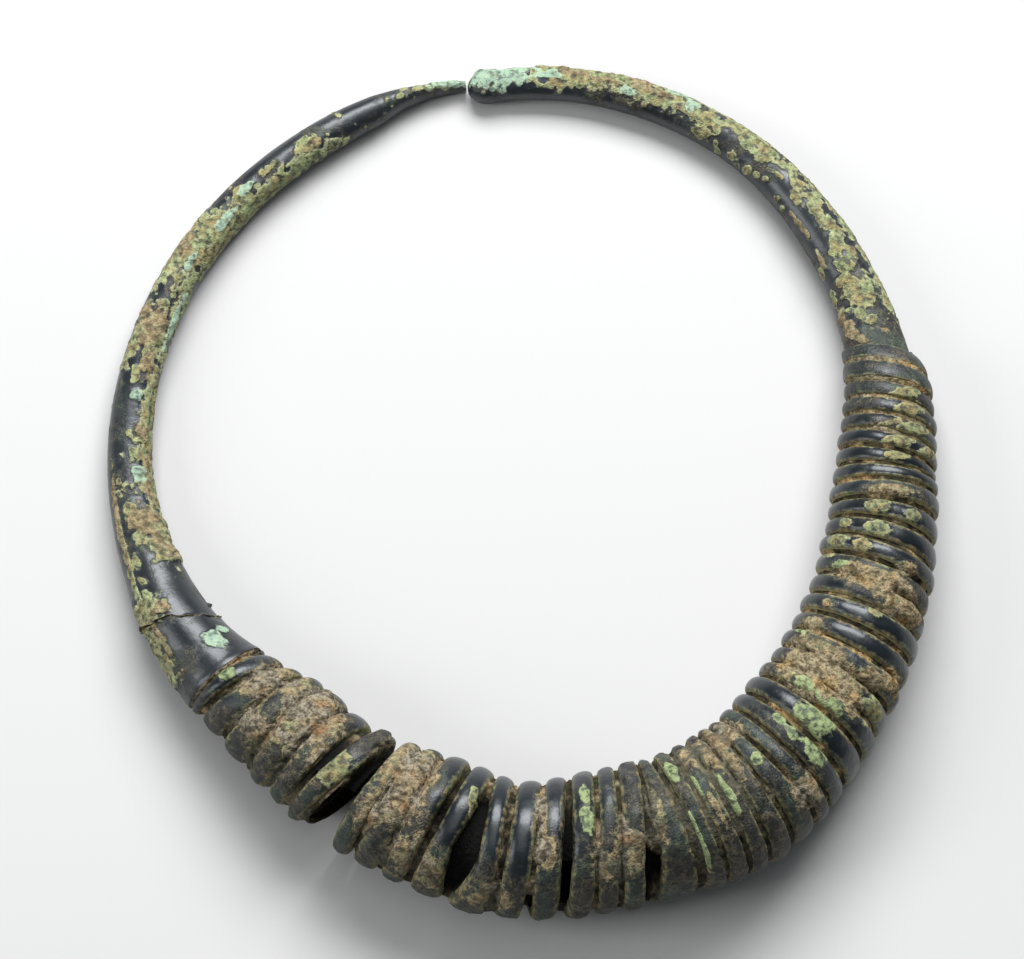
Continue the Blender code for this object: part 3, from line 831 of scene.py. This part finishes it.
    # spots of bloom, pale at their edges, then earth, then mint
    pale = add(tree, "MapRange", {
        "Value": levels[1], "From Min": 0.62, "From Max": 0.72, "To Min": 0.55, "To Max": 0.0,
    })
    spots = add(tree, "Mix", {0: 0.8, 6: greens, 7: bloom}, out=2, data_type="RGBA")
    spots = add(tree, "Mix", {0: pale, 6: spots, 7: linear("#b4ba8e")}, out=2, data_type="RGBA")
    pores = add(tree, "MapRange", {
        "Value": fine, "From Min": 0.45, "From Max": 0.3, "To Max": 0.7,
    })
    spots = add(tree, "Mix", {0: pores, 6: spots, 7: linear("#3b3a29")}, out=2, data_type="RGBA")
    colour = add(tree, "Mix", {0: bloomy, 6: colour, 7: spots}, out=2, data_type="RGBA")
    part = add(tree, "Math", {0: hue, 1: 0.5}, operation="MULTIPLY")
    soil = add(tree, "Mix", {0: part, 6: soil, 7: ochres}, out=2, data_type="RGBA")
    part = add(tree, "MapRange", {
        "Value": patchy, "From Min": 0.5, "From Max": 0.4, "To Max": 0.6,
    })
    soil = add(tree, "Mix", {0: part, 6: soil, 7: greens}, out=2, data_type="RGBA")
    soil = add(tree, "Mix", {0: pores, 6: soil, 7: linear("#3a3122")}, out=2, data_type="RGBA")
    colour = add(tree, "Mix", {0: earthy, 6: colour, 7: soil}, out=2, data_type="RGBA")
    pale = add(tree, "MapRange", {
        "Value": levels[2], "From Min": 0.62, "From Max": 0.74, "To Min": 1.0, "To Max": 0.0,
    })
    part = add(tree, "Math", {0: shade, 1: 0.75}, operation="MULTIPLY")
    pale = add(tree, "Math", {0: pale, 1: part}, operation="MAXIMUM")
    mints = add(tree, "Mix", {0: pale, 6: linear(mint[0]), 7: linear(mint[1])}, out=2, data_type="RGBA")
    colour = add(tree, "Mix", {0: minty, 6: colour, 7: mints}, out=2, data_type="RGBA")
    tree.links.new(colour, shader.inputs["Base Color"])
    # matt where anything lies on the skin
    covered = add(tree, "Math", {0: bloomy, 1: earthy}, operation="MAXIMUM")
    covered = add(tree, "Math", {0: covered, 1: minty}, operation="MAXIMUM")
    covered = add(tree, "Math", {0: covered, 1: rim}, operation="MAXIMUM")
    dull = add(tree, "MapRange", {
        "Value": smear, "From Max": 0.88, "To Min": gloss, "To Max": gloss + 0.3,
    })
    rough = add(tree, "Mix", {0: covered, 2: dull, 3: 0.82})
    tree.links.new(rough, shader.inputs["Roughness"])
    metal = add(tree, "MapRange", {"Value": covered, "To Min": 0.3, "To Max": 0.0})
    tree.links.new(metal, shader.inputs["Metallic"])
    polish = add(tree, "Math", {0: covered, 1: smear}, operation="MAXIMUM")
    polish = add(tree, "MapRange", {"Value": polish, "To Min": 0.2, "To Max": 0.0})
    tree.links.new(polish, shader.inputs["Coat Weight"])
    shader.inputs["Coat Roughness"].default_value = gloss
    # crust edges and grains as fine relief
    relief = add(tree, "Math", {0: covered, 1: 0.7}, operation="MULTIPLY")
    grain = add(tree, "Math", {0: fine, 1: covered}, operation="MULTIPLY")
    relief = add(tree, "Math", {0: grain, 1: 0.9, 2: relief}, operation="MULTIPLY_ADD")
    relief = add(tree, "Math", {0: fine, 1: 0.08, 2: relief}, operation="MULTIPLY_ADD")
    grain = add(tree, "Math", {0: speckle, 1: smear}, operation="MULTIPLY")
    relief = add(tree, "Math", {0: grain, 1: 0.6, 2: relief}, operation="MULTIPLY_ADD")
    relief = add(tree, "Math", {0: middling, 1: 0.28, 2: relief}, operation="MULTIPLY_ADD")
    relief = add(tree, "Math", {0: patchy, 1: 0.6, 2: relief}, operation="MULTIPLY_ADD")
    bump = add(tree, "Bump", {"Height": relief, "Strength": 0.7, "Distance": 0.25 * MM})
    tree.links.new(bump, shader.inputs["Normal"])
    return material


def groove_earth_and_painted_shadow(name, loose, baked, deep):
    """Burial earth set hard in the grooves: matt, grainy, tan to ochre where it is thick, and dark
    brown mixed with olive corrosion where it lies deep between the turns."""
    material = bpy.data.materials.new(name)
    material.use_nodes = True
    tree = material.node_tree
    shader = tree.nodes["Principled BSDF"]
    place = add(tree, "TexCoord", out="Object")
    # patches of colour 5 mm across, clods 1.4 mm, grains 0.5 mm
    broad = add(tree, "TexNoise", {"Vector": place, "Scale": 1000 / 5.0, "Detail": 3.0})
    clods = add(tree, "TexNoise", {"Vector": place, "Scale": 1000 / 1.4, "Detail": 4.0})
    fine = add(tree, "TexNoise", {"Vector": place, "Scale": 1000 / 0.5, "Detail": 2.0})
    grains = add(tree, "TexVoronoi", {"Vector": place, "Scale": 1000 / 0.8})
    film = add(tree, "Attribute", attribute_name="film")
    alpha = film.node.outputs["Alpha"]
    parts = add(tree, "SeparateColor", {"Color": film}).node.outputs
    shade = add(tree, "MapRange", {"Value": clods, "From Min": 0.36, "From Max": 0.6})
    warm = add(tree, "MapRange", {
        "Value": broad, "From Min": 0.46, "From Max": 0.66, "To Max": 0.85,
    })
    thick = add(tree, "Mix", {
        0: shade, 6: linear(loose[0]), 7: linear(loose[1]),
    }, out=2, data_type="RGBA")
    hot = add(tree, "Mix", {
        0: shade, 6: linear(baked[0]), 7: linear(baked[1]),
    }, out=2, data_type="RGBA")
    rust = add(tree, "MapRange", {
        "Value": broad, "From Min": 0.6, "From Max": 0.74, "To Max": 0.6,
    })
    hot = add(tree, "Mix", {0: rust, 6: hot, 7: linear("#8c6440")}, out=2, data_type="RGBA")
    thick = add(tree, "Mix", {0: warm, 6: thick, 7: hot}, out=2, data_type="RGBA")
    speck = add(tree, "MapRange", {
        "Value": fine, "From Min": 0.47, "From Max": 0.33, "To Max": 0.85,
    })
    thick = add(tree, "Mix", {0: speck, 6: thick, 7: linear("#3c3425")}, out=2, data_type="RGBA")
    grey = add(tree, "MapRange", {
        "Value": parts["Green"], "From Min": 0.3, "From Max": 0.7, "To Max": 0.75,
    })
    thick = add(tree, "Mix", {0: grey, 6: thick, 7: linear("#44463b")}, out=2, data_type="RGBA")
    low = add(tree, "Mix", {
        0: shade, 6: linear(deep[0]), 7: linear(deep[1]),
    }, out=2, data_type="RGBA")
    raised = add(tree, "Math", {
        0: fine, 1: 0.3, 2: alpha,
    }, operation="MULTIPLY_ADD")
    raised = add(tree, "MapRange", {"Value": raised, "From Min": 0.3, "From Max": 0.75})
    tan = add(tree, "MapRange", {"Value": broad, "From Min": 0.5, "From Max": 0.62})
    raised = add(tree, "Math", {0: raised, 1: tan}, operation="MAXIMUM")
    colour = add(tree, "Mix", {0: raised, 6: low, 7: thick}, out=2, data_type="RGBA")
    # painted shadow: near black where the film's red channel marks an open groove, the wall past the last
    # groove and the lump
    colour = add(tree, "Mix", {
        0: parts["Red"], 6: colour, 7: linear("#070706"),
    }, out=2, data_type="RGBA")
    tree.links.new(colour, shader.inputs["Base Color"])
    shader.inputs["Specular IOR Level"].default_value = 0.2
    rough = add(tree, "MapRange", {"Value": fine, "To Min": 0.8, "To Max": 0.98})
    tree.links.new(rough, shader.inputs["Roughness"])
    relief = add(tree, "Math", {0: fine, 1: 0.5, 2: clods}, operation="MULTIPLY_ADD")
    relief = add(tree, "Math", {0: grains, 1: -0.5, 2: relief}, operation="MULTIPLY_ADD")
    bump = add(tree, "Bump", {"Height": relief, "Strength": 0.9, "Distance": 0.5 * MM})
    tree.links.new(bump, shader.inputs["Normal"])
    return material


def dress(piece, node, material):
    """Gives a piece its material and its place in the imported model."""
    piece.data.materials.append(material)
    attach(piece, "root")
    if node:
        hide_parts(node)


def soft_light(name, place, target, width, height, power):
    """A large soft panel that faces a point."""
    data = bpy.data.lights.new(name, "AREA")
    data.shape = "RECTANGLE"
    data.size = width
    data.size_y = height
    data.energy = power
    made = bpy.data.objects.new(name, data)
    bpy.context.scene.collection.objects.link(made)
    made.location = place
    made.rotation_euler = (target - made.location).to_track_quat("-Z", "Y").to_euler()
    return made


GREEN_TONES = ("#4a5538", "#939c70")
DULL_GREEN_TONES = ("#3f4633", "#83895f")
OCHRE_TONES = ("#564a30", "#978558")
MINT_TONES = ("#71897a", "#a0b79c")
YELLOW_GREEN_TONES = ("#536240", "#9aa878")
EARTH_TONES = ("#564b35", "#978a6c")

left = Winding(LEFT_START, LEFT_TURNS, LEFT_OPEN, 0.0, 3)
right = Winding(RIGHT_START, RIGHT_TURNS, RIGHT_OPEN, RIGHT_END_THINNING, 5)
glossy = buried_bronze("blue_black_bronze", ("#0f161b", "#20272c"), DULL_GREEN_TONES, OCHRE_TONES,
                       YELLOW_GREEN_TONES, EARTH_TONES, 0.32, 0.85)
stem_skin = buried_bronze("mottled_bronze", ("#191f25", "#2d3235"), GREEN_TONES, OCHRE_TONES, MINT_TONES,
                          EARTH_TONES, 0.33, 0.0)
crust = groove_earth_and_painted_shadow("burial_earth", ("#504735", "#94896f"), ("#63512f", "#a58a5a"), ("#15140f", "#3d3824"))
grey_crust = groove_earth_and_painted_shadow("grey_burial_earth", ("#3f3a2f", "#8c8574"), ("#574930", "#988565"),
                          ("#12110e", "#35311f"))

dress(make_left_stem(), "left_stem", stem_skin)
dress(make_collar(), "collar", stem_skin)
dress(make_right_stem(), "right_stem", stem_skin)
dress(wound_strip("left_winding_strip", left, 150, 23), "left_winding", glossy)
dress(wound_strip("right_winding_strip", right, 118, 17), "right_winding", glossy)

# Each length of earth: name, slot, material, winding, span, dips, cuts, step in mm and seed
for name, slot, material, *lie in (
    ("left_winding_earth", "left_winding_patina", grey_crust, left, (-57.05, -26.7), (0.0, 0.0),
     ((-33.0, -20.0, -91.0, 72.0), (-33.0, -20.0, 215.0, 271.0)), 0.4, 201),
    ("right_winding_earth_low", "right_winding_patina", grey_crust, right, (-23.5, 44.6), (1.2, 0.6),
     ((3.0, 10.0, -80.0, 60.0),), 0.47, 211),
    ("right_winding_earth_high", "right_winding_patina", crust, right, (43.9, 111.6), (0.6, 1.6),
     (), 0.45, 221),
):
    dress(earth_fill(name, *lie), None, material)

# A plain pale floor
bpy.ops.mesh.primitive_plane_add(size=6.0)
floor = bpy.context.object
floor.name = "floor"
floor_paint = bpy.data.materials.new("pale_floor")
floor_paint.use_nodes = True
paint = floor_paint.node_tree.nodes["Principled BSDF"].inputs
paint["Base Color"].default_value = linear("#bfbfbf")
paint["Roughness"].default_value = 0.9
floor.data.materials.append(floor_paint)

# Soft panels behind, above and on the left, and a faint cool light from all round
aim = Vector((MIDDLE[0] * MM, MIDDLE[1] * MM, 8 * MM))
soft_light("panel_behind", Vector((0.12, 0.75, 0.85)), aim, 1.0, 0.55, 26.0)
soft_light("panel_above", Vector((0.0, 0.1, 1.3)), aim, 0.8, 0.8, 3.0)
soft_light("panel_left", Vector((-1.1, -0.2, 0.7)), aim, 0.5, 0.8, 7.5)

world = bpy.data.worlds.new("studio")
world.use_nodes = True
sky = world.node_tree.nodes["Background"].inputs
sky["Color"].default_value = (0.9, 0.95, 1.0, 1.0)
sky["Strength"].default_value = 0.12
bpy.context.scene.world = world
bpy.context.scene.view_settings.view_transform = "Standard"

# The camera looks down from the front at the photo's angle, with the small shift that puts the
# ring where it is in the picture
tilt = math.radians(74.0)
distance = 950.0 * MM
lens = bpy.data.cameras.new("camera")
lens.sensor_width = 36.0
lens.lens = 158.4
lens.shift_x = -0.0098
lens.shift_y = 0.0151
camera = bpy.data.objects.new("camera", lens)
bpy.context.scene.collection.objects.link(camera)
camera.location = aim + distance * Vector((0.0, -math.cos(tilt), math.sin(tilt)))
camera.rotation_euler = (math.pi / 2 - tilt, 0.0, 0.0)
bpy.context.scene.camera = camera
